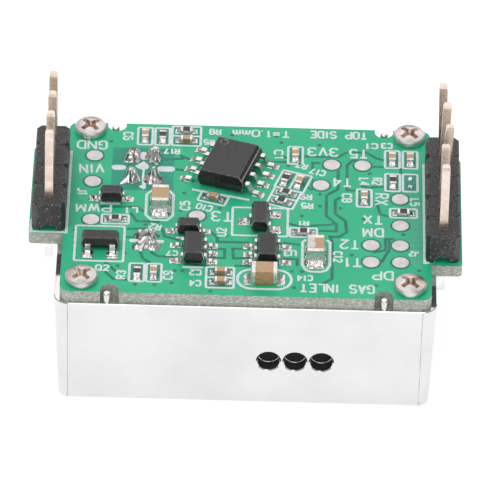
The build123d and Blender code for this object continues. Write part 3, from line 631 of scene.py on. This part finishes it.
# ---- solder ----
def solder_peak(seed, x, y, shape):
    """A hand-soldered joint: solder draped in folds down a lead, plugging its hole."""
    foot_x, foot_y, height, lean, blunt, folds, spur = shape
    rng = random.Random(seed)
    offset = Vector((rng.uniform(0, 50), rng.uniform(0, 50), rng.uniform(0, 50)))
    phase = rng.uniform(0, math.pi)
    angles = ring_angles(PEAK_SECTORS)
    vertices = []
    for level in (BOARD_BOTTOM + PLUG_INSET, BOARD_TOP - PLUG_INSET):
        vertices += [(x + PLUG_RADIUS * math.cos(a), y + PLUG_RADIUS * math.sin(a), level)
                     for a in angles]
    for k in range(PEAK_RINGS):
        t = k / (PEAK_RINGS - 1)
        cone = 0.2 + 0.8 * (1 - t) ** 1.6
        reach = ((1 - blunt) * cone + blunt) * (1 - t ** 6) ** 0.5
        drift = Vector(lean) * t ** 1.2
        level = BOARD_TOP + height * t
        for a in angles:
            direction = Vector((math.cos(a), math.sin(a), 0))
            around = direction * 0.8 + Vector((0, 0, 0.9 * t)) + offset
            fold = abs(math.sin(folds * a / 2 + phase + 0.7 * t)) - 0.6
            ripple = 0.3 * noise.noise(around) + 0.12 * noise.noise(around * 3.1)
            pull = spur * max(0.0, math.cos(a - SPUR_HEADING)) ** 24 * (1 - t) ** 3
            r = reach * (1 + FOLD_DEPTH * fold * (0.35 + t) + ripple + pull)
            tilt = 0.1 * height * noise.noise(around * 1.3) * t
            vertices.append((x + drift.x + max(PEAK_LEAST, foot_x * r) * direction.x,
                             y + drift.y + max(PEAK_LEAST, foot_y * r) * direction.y, level + tilt))
    return vertices, stacked_faces(PEAK_RINGS + 2, PEAK_SECTORS)


def ring_angles(count):
    return [2 * math.pi * k / count for k in range(count)]


def stacked_faces(rings, count):
    """Faces of a closed body made of rings of count points, from the lowest ring up."""
    faces = []
    for k in range(rings - 1):
        for i in range(count):
            j = (i + 1) % count
            a = k * count
            b = a + count
            faces.append((a + i, a + j, b + j, b + i))
    faces.append(tuple(reversed(range(count))))
    faces.append(tuple(range((rings - 1) * count, rings * count)))
    return faces


# ---- materials ----
def new_material(name):
    material = bpy.data.materials.new(name)
    material.use_nodes = True
    tree = material.node_tree
    return material, tree, tree.nodes["Principled BSDF"]


def object_coordinates(tree):
    return tree.nodes.new("ShaderNodeTexCoord").outputs["Object"]


def noise_of(tree, scale, detail=4.0, stretch=None):
    """Noise with about scale cells to the metre."""
    texture = tree.nodes.new("ShaderNodeTexNoise")
    texture.inputs["Scale"].default_value = scale
    texture.inputs["Detail"].default_value = detail
    source = object_coordinates(tree)
    if stretch:
        mapping = tree.nodes.new("ShaderNodeMapping")
        mapping.inputs["Scale"].default_value = stretch
        tree.links.new(source, mapping.inputs["Vector"])
        source = mapping.outputs["Vector"]
    tree.links.new(source, texture.inputs["Vector"])
    return texture.outputs["Fac"]


def ramp_of(tree, factor, stops):
    ramp = tree.nodes.new("ShaderNodeValToRGB")
    elements = ramp.color_ramp.elements
    while len(elements) < len(stops):
        elements.new(0.5)
    for element, (place, colour) in zip(elements, stops):
        element.position = place
        element.color = (*colour, 1)
    tree.links.new(factor, ramp.inputs["Fac"])
    return ramp.outputs["Color"]


def range_of(tree, factor, low, high):
    """Spreads the middle of a noise from low to high."""
    node = tree.nodes.new("ShaderNodeMapRange")
    node.inputs["From Min"].default_value = 0.3
    node.inputs["From Max"].default_value = 0.7
    node.inputs["To Min"].default_value = low
    node.inputs["To Max"].default_value = high
    tree.links.new(factor, node.inputs["Value"])
    return node.outputs["Result"]


def bump_of(tree, height, distance):
    node = tree.nodes.new("ShaderNodeBump")
    node.inputs["Distance"].default_value = distance
    tree.links.new(height, node.inputs["Height"])
    return node.outputs["Normal"]


def mix_colours(tree, factor, first, second):
    node = tree.nodes.new("ShaderNodeMix")
    node.data_type = "RGBA"
    tree.links.new(factor, node.inputs["Factor"])
    tree.links.new(first, node.inputs["A"])
    tree.links.new(second, node.inputs["B"])
    return node.outputs["Result"]


def math_of(tree, operation, first, second=None):
    node = tree.nodes.new("ShaderNodeMath")
    node.operation = operation
    for socket, value in zip(node.inputs, (first, second)):
        if value is None:
            continue
        if isinstance(value, (int, float)):
            socket.default_value = value
        else:
            tree.links.new(value, socket)
    return node.outputs["Value"]


def surface(name, dark, light, patch, roughness, metallic, grain, specular=0.5):
    """Two-tone finish: clouds of the given size in mm, a roughness span and a grain."""
    material, tree, shader = new_material(name)
    clouds = noise_of(tree, 1 / (patch * MM))
    colour = ramp_of(tree, clouds, [(0.35, dark), (0.65, light)])
    tree.links.new(colour, shader.inputs["Base Color"])
    rough = range_of(tree, noise_of(tree, 2.3 / (patch * MM)), *roughness)
    tree.links.new(rough, shader.inputs["Roughness"])
    shader.inputs["Metallic"].default_value = metallic
    shader.inputs["Specular IOR Level"].default_value = specular
    size, depth = grain
    normal = bump_of(tree, noise_of(tree, 1 / (size * MM), 6.0), depth * MM)
    tree.links.new(normal, shader.inputs["Normal"])
    return material


def normal_z(tree):
    """How level a face is: 1 on a flat top or underside, 0 on a wall."""
    geometry = tree.nodes.new("ShaderNodeNewGeometry")
    parts = tree.nodes.new("ShaderNodeSeparateXYZ")
    tree.links.new(geometry.outputs["True Normal"], parts.inputs["Vector"])
    return math_of(tree, "ABSOLUTE", parts.outputs["Z"])


def board_material():
    """Green mask on the faces, layered glass laminate on the cut edges."""
    material, tree, shader = new_material("board")
    clouds = noise_of(tree, 180, 3.0)
    mask = ramp_of(tree, clouds, [(0.3, (0.022, 0.5, 0.25)), (0.7, (0.035, 0.56, 0.285))])
    streaks = noise_of(tree, 4200, 5.0, (1, 1, 2.2))
    edge = ramp_of(tree, streaks, [(0.34, (0.27, 0.3, 0.24)), (0.5, (0.4, 0.43, 0.37)),
                                  (0.66, (0.6, 0.61, 0.57))])
    flat = math_of(tree, "GREATER_THAN", normal_z(tree), 0.5)
    tree.links.new(mix_colours(tree, flat, edge, mask), shader.inputs["Base Color"])
    rough = range_of(tree, noise_of(tree, 700), 0.28, 0.42)
    tree.links.new(rough, shader.inputs["Roughness"])
    shader.inputs["Specular IOR Level"].default_value = 0.3
    weave = bump_of(tree, noise_of(tree, 2500, 2.0), 0.004 * MM)
    tree.links.new(weave, shader.inputs["Normal"])
    return material


def capacitor_material():
    """Tan ceramic with painted shade: browner and darker on the sides than on the top."""
    material, tree, shader = new_material("capacitor_ceramic")
    grain = noise_of(tree, 4500, 6.0)
    top = ramp_of(tree, grain, [(0.3, (0.52, 0.32, 0.175)), (0.7, (0.64, 0.43, 0.255))])
    # painted shade: a darker, browner tone for the sides, chosen below by the face normals
    streaks = noise_of(tree, 1500, 4.0, (1, 1, 6))
    side = ramp_of(tree, streaks, [(0.3, (0.3, 0.17, 0.075)), (0.7, (0.48, 0.31, 0.16))])
    flat = math_of(tree, "GREATER_THAN", normal_z(tree), 0.7)
    tree.links.new(mix_colours(tree, flat, side, top), shader.inputs["Base Color"])
    tree.links.new(range_of(tree, grain, 0.35, 0.5), shader.inputs["Roughness"])
    tree.links.new(bump_of(tree, grain, 0.006 * MM), shader.inputs["Normal"])
    return material


def screw_material():
    """Nickel plating in uneven patches, brown residue in the cross recess."""
    material, tree, shader = new_material("screw_steel")
    low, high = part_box("board_screws")
    half_x = (high.x - low.x) / 2 - SCREW_RADIUS * MM
    middle_y = (high.y + low.y) / 2
    half_y = (high.y - low.y) / 2 - SCREW_RADIUS * MM
    parts = tree.nodes.new("ShaderNodeSeparateXYZ")
    tree.links.new(object_coordinates(tree), parts.inputs["Vector"])
    from_x = math_of(tree, "SUBTRACT", math_of(tree, "ABSOLUTE", parts.outputs["X"]), half_x)
    from_y = math_of(tree, "ABSOLUTE", math_of(tree, "SUBTRACT", parts.outputs["Y"], middle_y))
    from_y = math_of(tree, "SUBTRACT", from_y, half_y)
    squared = math_of(tree, "ADD", math_of(tree, "MULTIPLY", from_x, from_x),
                      math_of(tree, "MULTIPLY", from_y, from_y))
    inside = math_of(tree, "LESS_THAN", squared, (RECESS_REACH * MM) ** 2)
    steep = math_of(tree, "LESS_THAN", normal_z(tree), 0.8)
    recess = math_of(tree, "MULTIPLY", inside, steep)
    patches = noise_of(tree, 1200, 5.0)
    plated = ramp_of(tree, patches, [(0.35, (0.6, 0.54, 0.53)), (0.65, (0.8, 0.74, 0.73))])
    brown = ramp_of(tree, patches, [(0.35, (0.5, 0.38, 0.3)), (0.65, (0.95, 0.87, 0.8))])
    tree.links.new(mix_colours(tree, recess, plated, brown), shader.inputs["Base Color"])
    shader.inputs["Metallic"].default_value = 1.0
    tree.links.new(range_of(tree, patches, 0.24, 0.42), shader.inputs["Roughness"])
    tree.links.new(bump_of(tree, patches, 0.012 * MM), shader.inputs["Normal"])
    return material


def plating_material():
    """Mirror plating with painted shade: fine grey lines where the walls turn and along the base."""
    material = surface("plated_box", (0.7, 0.7, 0.703), (0.775, 0.775, 0.777), 7.0,
                       (0.06, 0.1), 1.0, (3.0, 0.002))
    tree = material.node_tree
    shader = tree.nodes["Principled BSDF"]
    plated = shader.inputs["Base Color"].links[0].from_socket
    # painted shade: a darker grey painted into the plating where the walls turn and along the foot of
    # the walls
    painted_lighting = ramp_of(tree, noise_of(tree, 900), [(0.3, (0.4, 0.4, 0.4)), (0.7, (0.62, 0.62, 0.62))])
    geometry = tree.nodes.new("ShaderNodeNewGeometry")
    parts = tree.nodes.new("ShaderNodeSeparateXYZ")
    tree.links.new(geometry.outputs["Normal"], parts.inputs["Vector"])
    corner = math_of(tree, "ABSOLUTE", math_of(tree, "MULTIPLY", parts.outputs["X"],
                                               parts.outputs["Y"]))
    crease = math_of(tree, "COMPARE", corner, CREASE_TURN)
    crease.node.inputs[2].default_value = CREASE_SPREAD
    place = tree.nodes.new("ShaderNodeSeparateXYZ")
    tree.links.new(object_coordinates(tree), place.inputs["Vector"])
    # painted shade along the base of the walls, below CREASE_WIDTH
    low = math_of(tree, "LESS_THAN", place.outputs["Z"], CREASE_WIDTH * MM)
    base = math_of(tree, "MULTIPLY", low, math_of(tree, "LESS_THAN", normal_z(tree), 0.5))
    line = math_of(tree, "MAXIMUM", crease, base)
    tree.links.new(mix_colours(tree, line, plated, painted_lighting), shader.inputs["Base Color"])
    return material


def pin_material():
    """Thin gold over nickel above the board, bright tin below it."""
    material = surface("gold_pins", (0.74, 0.6, 0.49), (0.86, 0.74, 0.66), 0.8, (0.24, 0.38), 1.0,
                       (0.35, 0.003))
    tree = material.node_tree
    shader = tree.nodes["Principled BSDF"]
    gold = shader.inputs["Base Color"].links[0].from_socket
    tin = ramp_of(tree, noise_of(tree, 1500), [(0.3, (0.8, 0.79, 0.79)), (0.7, (0.95, 0.94, 0.94))])
    parts = tree.nodes.new("ShaderNodeSeparateXYZ")
    tree.links.new(object_coordinates(tree), parts.inputs["Vector"])
    below = math_of(tree, "LESS_THAN", parts.outputs["Z"], BOARD_BOTTOM * MM)
    tree.links.new(mix_colours(tree, below, gold, tin), shader.inputs["Base Color"])
    return specks_and_painted_glints(material, (0.16, 0.11, 0.08), 0.09, 0.72)


def specks_and_painted_glints(material, colour, size, amount):
    """Adds small light or dark specks of the given size in mm to a finish; the light specks are
    painted glints.
    """
    tree = material.node_tree
    shader = tree.nodes["Principled BSDF"]
    plain = shader.inputs["Base Color"].links[0].from_socket
    grains = noise_of(tree, 1 / (size * MM), 1.0)
    speck = ramp_of(tree, noise_of(tree, 0.4 / (size * MM)), [(0.3, colour), (0.7, colour)])
    chosen = math_of(tree, "GREATER_THAN", grains, amount)
    tree.links.new(mix_colours(tree, chosen, plain, speck), shader.inputs["Base Color"])
    return material


def painted_edge_highlight(material, colour, radius, amount):
    """Painted highlights on edges: a lighter tone where a surface turns within the given radius in
    mm.
    """
    tree = material.node_tree
    shader = tree.nodes["Principled BSDF"]
    plain = shader.inputs["Base Color"].links[0].from_socket
    rounded = tree.nodes.new("ShaderNodeBevel")
    rounded.samples = 8
    rounded.inputs["Radius"].default_value = radius * MM
    geometry = tree.nodes.new("ShaderNodeNewGeometry")
    along = tree.nodes.new("ShaderNodeVectorMath")
    along.operation = "DOT_PRODUCT"
    tree.links.new(rounded.outputs["Normal"], along.inputs[0])
    tree.links.new(geometry.outputs["Normal"], along.inputs[1])
    turn = math_of(tree, "SUBTRACT", 1.0, along.outputs["Value"])
    highlight_breakup = range_of(tree, noise_of(tree, 3500, 3.0), *amount)
    mask = math_of(tree, "MULTIPLY", math_of(tree, "MULTIPLY", turn, HIGHLIGHT_GAIN), highlight_breakup)
    mask.node.use_clamp = True
    # painted highlight: the light tone mixed in along the edges, broken up by noise
    painted_lighting = ramp_of(tree, noise_of(tree, 5000), [(0.3, colour), (0.7, colour)])
    tree.links.new(mix_colours(tree, mask, plain, painted_lighting), shader.inputs["Base Color"])
    return material


def moulding_material():
    """Black moulding compound with the skin of gloss left by its mould, painted glints and painted
    edge highlights.
    """
    material = surface("moulding_compound", (0.007, 0.007, 0.0075), (0.013, 0.013, 0.0135), 0.25,
                       (0.3, 0.45), 0.0, (0.14, 0.002), 0.3)
    shader = material.node_tree.nodes["Principled BSDF"]
    shader.inputs["Coat Weight"].default_value = 0.4
    shader.inputs["Coat Roughness"].default_value = 0.16
    # painted glints: light grey specks in the black
    specks_and_painted_glints(material, (0.2, 0.2, 0.2), 0.07, 0.72)
    # painted highlights: a light grey tone along the edges
    return painted_edge_highlight(material, (0.72, 0.72, 0.72), 0.15, (0.15, 1.0))


def header_material():
    """Coarse black nylon with painted glints and painted edge highlights."""
    material = surface("header_plastic", (0.012, 0.012, 0.013), (0.034, 0.034, 0.036), 0.16,
                       (0.25, 0.45), 0.0, (0.12, 0.03))
    # painted glints: light grey specks in the black nylon
    specks_and_painted_glints(material, (0.5, 0.5, 0.51), 0.09, 0.71)
    # painted highlights: a light grey tone along the edges
    return painted_edge_highlight(material, (0.6, 0.6, 0.62), 0.12, (-0.5, 1.0))


def glass_material(name, dark, light, transmission):
    material = surface(name, dark, light, 1.5, (0.03, 0.08), 0.0, (0.6, 0.001))
    shader = material.node_tree.nodes["Principled BSDF"]
    shader.inputs["Transmission Weight"].default_value = transmission
    shader.inputs["IOR"].default_value = 1.5
    return material


def make_materials():
    return {
        "plated_box": plating_material(),
        "board": board_material(),
        "screw_steel": screw_material(),
        "header_plastic": header_material(),
        "gold_pins": pin_material(),
        "solder": surface("solder", (0.5, 0.46, 0.45), (0.86, 0.82, 0.81), 0.16,
                          (0.12, 0.3), 1.0, (0.16, 0.03)),
        "joint_solder": surface("joint_solder", (0.66, 0.62, 0.61), (0.94, 0.9, 0.89), 0.3,
                                (0.1, 0.22), 1.0, (0.3, 0.02)),
        "tinned_leads": surface("tinned_leads", (0.6, 0.57, 0.56), (0.84, 0.8, 0.79), 0.3,
                                (0.14, 0.3), 1.0, (0.2, 0.016)),
        "moulding_compound": moulding_material(),
        "capacitor_ceramic": capacitor_material(),
        "resistor_ceramic": surface("resistor_ceramic", (0.72, 0.72, 0.7), (0.88, 0.88, 0.86),
                                    0.3, (0.4, 0.55), 0.0, (0.1, 0.006)),
        "resistor_film": surface("resistor_film", (0.02, 0.018, 0.018), (0.05, 0.045, 0.045),
                                 0.2, (0.3, 0.45), 0.0, (0.1, 0.004)),
        "chip_metal": surface("chip_metal", (0.62, 0.56, 0.52), (0.84, 0.78, 0.74), 0.22,
                              (0.2, 0.38), 1.0, (0.16, 0.016)),
        "reflector": surface("reflector", (0.82, 0.68, 0.4), (0.92, 0.8, 0.52), 4.0,
                             (0.06, 0.12), 1.0, (2.0, 0.002)),
        "filter_cloth": surface("filter_cloth", (0.008, 0.008, 0.008), (0.025, 0.025, 0.026),
                                0.12, (0.8, 0.95), 0.0, (0.08, 0.02)),
        "can_metal": surface("can_metal", (0.62, 0.61, 0.6), (0.76, 0.75, 0.74), 1.2,
                             (0.2, 0.32), 1.0, (0.3, 0.003)),
        "infrared_window": glass_material("infrared_window", (0.25, 0.15, 0.25),
                                          (0.4, 0.3, 0.42), 0.4),
        "sensor_chip": surface("sensor_chip", (0.06, 0.06, 0.08), (0.14, 0.14, 0.17), 0.5,
                               (0.15, 0.25), 0.3, (0.2, 0.001)),
        "lamp_glass": glass_material("lamp_glass", (0.9, 0.9, 0.9), (0.97, 0.97, 0.97), 0.95),
        "filament_wire": surface("filament_wire", (0.25, 0.24, 0.23), (0.4, 0.39, 0.38), 0.1,
                                 (0.35, 0.5), 1.0, (0.05, 0.002)),
    }


def paint_nodes(materials):
    for row in frame["record"]["subparts"]:
        mesh = frame["nodes"][row["node"]].data
        mesh.materials.clear()
        mesh.materials.append(materials[row["material_slot"]])


def pad_material():
    return surface("test_pad_tin", (0.68, 0.63, 0.64), (0.8, 0.77, 0.78), 0.5, (0.35, 0.5),
                   0.3, (0.25, 0.004))


# ---- stage ----
def make_camera():
    cos_e = math.cos(CAMERA_ELEVATION)
    back = Vector((0, -cos_e, math.sin(CAMERA_ELEVATION)))
    right = (-back).cross(Vector((0, 0, 1))).normalized()
    up = right.cross(-back)
    turned_right = math.cos(CAMERA_ROLL) * right + math.sin(CAMERA_ROLL) * up
    turned_up = math.cos(CAMERA_ROLL) * up - math.sin(CAMERA_ROLL) * right
    data = bpy.data.cameras.new("camera")
    data.lens = CAMERA_LENS
    data.sensor_width = CAMERA_SENSOR
    data.clip_start, data.clip_end = CAMERA_CLIP
    camera = bpy.data.objects.new("camera", data)
    rotation = Matrix((turned_right, turned_up, back)).transposed()
    place = Matrix.Translation(CAMERA_TARGET + back * CAMERA_DISTANCE)
    camera.matrix_world = place @ rotation.to_4x4()
    bpy.context.scene.collection.objects.link(camera)
    bpy.context.scene.camera = camera


def make_world():
    world = bpy.data.worlds.new("studio")
    world.use_nodes = True
    background = world.node_tree.nodes["Background"]
    background.inputs["Color"].default_value = (1, 1, 1, 1)
    background.inputs["Strength"].default_value = WORLD_STRENGTH
    bpy.context.scene.world = world


def soft_light(name, place, size, power):
    """A square soft box facing the object."""
    data = bpy.data.lights.new(name, "AREA")
    data.size = size
    data.energy = power
    lamp = bpy.data.objects.new(name, data)
    lamp.location = place
    toward = CAMERA_TARGET - Vector(place)
    lamp.rotation_euler = toward.to_track_quat("-Z", "Y").to_euler()
    bpy.context.scene.collection.objects.link(lamp)


def weld(piece):
    """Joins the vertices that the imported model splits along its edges."""
    joined = piece.modifiers.new("weld", "WELD")
    joined.merge_threshold = WELD_DISTANCE * MM


def slump_solder(nodes):
    """Rounds machined solder lands into uneven reflowed ones."""
    clouds = bpy.data.textures.new("solder_clouds", "CLOUDS")
    clouds.noise_scale = SOLDER_CLOUD * MM
    for name in nodes:
        piece = frame["nodes"][name]
        weld(piece)
        remesh = piece.modifiers.new("remesh", "REMESH")
        remesh.mode = "VOXEL"
        remesh.voxel_size = SOLDER_CELL * MM
        remesh.use_smooth_shade = True
        smooth = piece.modifiers.new("smooth", "SMOOTH")
        smooth.iterations = SOLDER_PASSES
        displace = piece.modifiers.new("displace", "DISPLACE")
        displace.texture = clouds
        displace.texture_coords = "LOCAL"
        displace.strength = SOLDER_SWELL * MM
        displace.mid_level = 0.5


def soften_edges(nodes):
    """A small round on every sharp edge of a moulded part."""
    for name in nodes:
        piece = frame["nodes"][name]
        weld(piece)
        bevel = piece.modifiers.new("bevel", "BEVEL")
        bevel.width = SOFT_EDGE * MM
        bevel.segments = SOFT_STEPS
        bevel.limit_method = "ANGLE"
        bevel.angle_limit = SOFT_ANGLE
        bevel.use_clamp_overlap = True


def make_floor():
    material, tree, shader = new_material("floor")
    paper = noise_of(tree, 40, 3.0)
    colour = ramp_of(tree, paper, [(0.3, (0.5, 0.5, 0.5)), (0.7, (0.52, 0.52, 0.52))])
    tree.links.new(colour, shader.inputs["Base Color"])
    shader.inputs["Emission Color"].default_value = (1, 1, 1, 1)
    shader.inputs["Emission Strength"].default_value = FLOOR_GLOW
    shader.inputs["Roughness"].default_value = 0.9
    shader.inputs["Specular IOR Level"].default_value = 0.1
    half = FLOOR_SIZE / 2
    mesh = bpy.data.meshes.new("floor")
    mesh.from_pydata([(-half, -half, 0), (half, -half, 0), (half, half, 0), (-half, half, 0)],
                     [], [(0, 1, 2, 3)])
    mesh.materials.append(material)
    floor = bpy.data.objects.new("floor", mesh)
    bpy.context.scene.collection.objects.link(floor)


# ---- the board's print, mask and joints ----
def make_print(materials):
    ink = surface("ink", (0.7, 0.81, 0.83), (0.84, 0.91, 0.92), 0.4, (0.45, 0.6), 0.0,
                  (0.12, 0.003), 0.3)
    teal = surface("bare_laminate", (0.016, 0.29, 0.195), (0.03, 0.37, 0.25), 2.5,
                   (0.28, 0.42), 0.0, (0.4, 0.003), 0.3)
    gap = surface("copper_gap", (0.012, 0.18, 0.13), (0.025, 0.25, 0.17), 1.2, (0.3, 0.42), 0.0,
                  (0.4, 0.003), 0.3)
    hole = surface("via_spot", (0.03, 0.16, 0.1), (0.06, 0.3, 0.18), 0.3, (0.35, 0.5), 0.0,
                   (0.1, 0.01), 0.3)
    film = surface("flux_film", (0.045, 0.49, 0.28), (0.085, 0.53, 0.34), 0.3, (0.28, 0.42), 0.0,
                   (0.2, 0.006), 0.3)
    build("ink_lines", chip_box_lines(), ink)
    letters = [part for label in LABELS for part in text_parts(*label)]
    build("ink_lettering", letters, ink)
    build("bare_laminate_patches", chip_tints(), teal)
    build("copper_gaps", copper_gap_lines(), gap)
    build("pad_clearances", pad_rings(), gap)
    build("via_spots", via_spots(), hole)
    build("flux_films", flux_films(), film)
    build("gas_hole_rims", gas_hole_rims(), materials["plated_box"], smooth=True)
    frame["nodes"]["test_pads"].data.materials.clear()
    frame["nodes"]["test_pads"].data.materials.append(pad_material())


def flux_crust(x, y):
    """The brown crust of burnt flux on top of one detector joint."""
    rotation = Euler(CRUST_TILT).to_matrix()
    centre = Vector((x + CRUST_AT[0], y + CRUST_AT[1], BOARD_TOP + CRUST_AT[2]))
    outline = rounded_outline(0, 0, CRUST_SIZE[0], CRUST_SIZE[1], CRUST_CORNER, 0, 3)
    points, faces = plate(outline, 0, CRUST_SIZE[2])
    return [tuple(centre + rotation @ Vector(p)) for p in points], faces


def side_fillet(x, y, side):
    """Solder drawn up the side of a capacitor's end cap."""
    count, rings = FILLET_STEPS
    vertices = []
    for k in range(rings):
        t = k / rings
        reach = (1 - t) ** 1.4
        for a in ring_angles(count):
            ruffle = 1 + 0.25 * noise.noise(Vector((2 * math.cos(a), 2 * math.sin(a), 3 * x + t)))
            px = x + side * FILLET_HALF[0] * (1 - reach) * -0.9
            vertices.append((px + FILLET_HALF[0] * reach * ruffle * math.cos(a),
                             y + FILLET_HALF[1] * reach ** 0.5 * ruffle * math.sin(a),
                             BOARD_TOP + FILLET_HEIGHT * t))
    return vertices, stacked_faces(rings, count)


def capacitor_fillets():
    """One fillet on each side of both end caps of the large upright capacitors."""
    parts = []
    for x, y in UPRIGHT_CAPACITORS:
        for side in (-1, 1):
            for end in (-1, 1):
                parts.append(side_fillet(x + side * FILLET_AT[0], y + end * FILLET_AT[1], side))
    return parts


def tin_smear():
    """Tin that wetted half of one capacitor's top."""
    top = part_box("bulk_capacitor_bodies")[1].z / MM
    return plate(SMEAR_OUTLINE, top - SMEAR_THICK, top + SMEAR_THICK)


def make_joints(materials):
    for node, rows in (("detector", DETECTOR_PEAKS), ("emitter", EMITTER_PEAKS)):
        parts = []
        for (low, high), (seed, shape) in zip(islands(node + "_leads"), rows):
            centre = (low + high) / 2
            parts.append(solder_peak(seed, centre.x, centre.y, shape))
        piece = build(node + "_joints", parts, materials["joint_solder"], smooth=True)
        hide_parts(node + "_solder")
    low, high = islands("detector_leads")[1]
    crust = surface("burnt_flux", (0.22, 0.16, 0.06), (0.38, 0.29, 0.14), 0.1, (0.3, 0.5), 0.2,
                    (0.08, 0.01))
    smear = surface("tin_smear", (0.66, 0.58, 0.54), (0.8, 0.73, 0.7), 0.3, (0.35, 0.5), 0.4,
                    (0.1, 0.008))
    build("capacitor_fillets", capacitor_fillets(), materials["joint_solder"],
          smooth=True)
    build("tin_smear", [tin_smear()], smear)
    build("flux_crust", [flux_crust((low.x + high.x) / 2, (low.y + high.y) / 2)], crust)


materials = make_materials()
paint_nodes(materials)
make_print(materials)
make_joints(materials)
soften_edges(MOULDED_BODIES)
slump_solder(["chip_solder", "lead_solder"])
make_camera()
make_world()
make_floor()
for light in LIGHTS:
    soft_light(*light)
bpy.context.scene.view_settings.view_transform = "Standard"
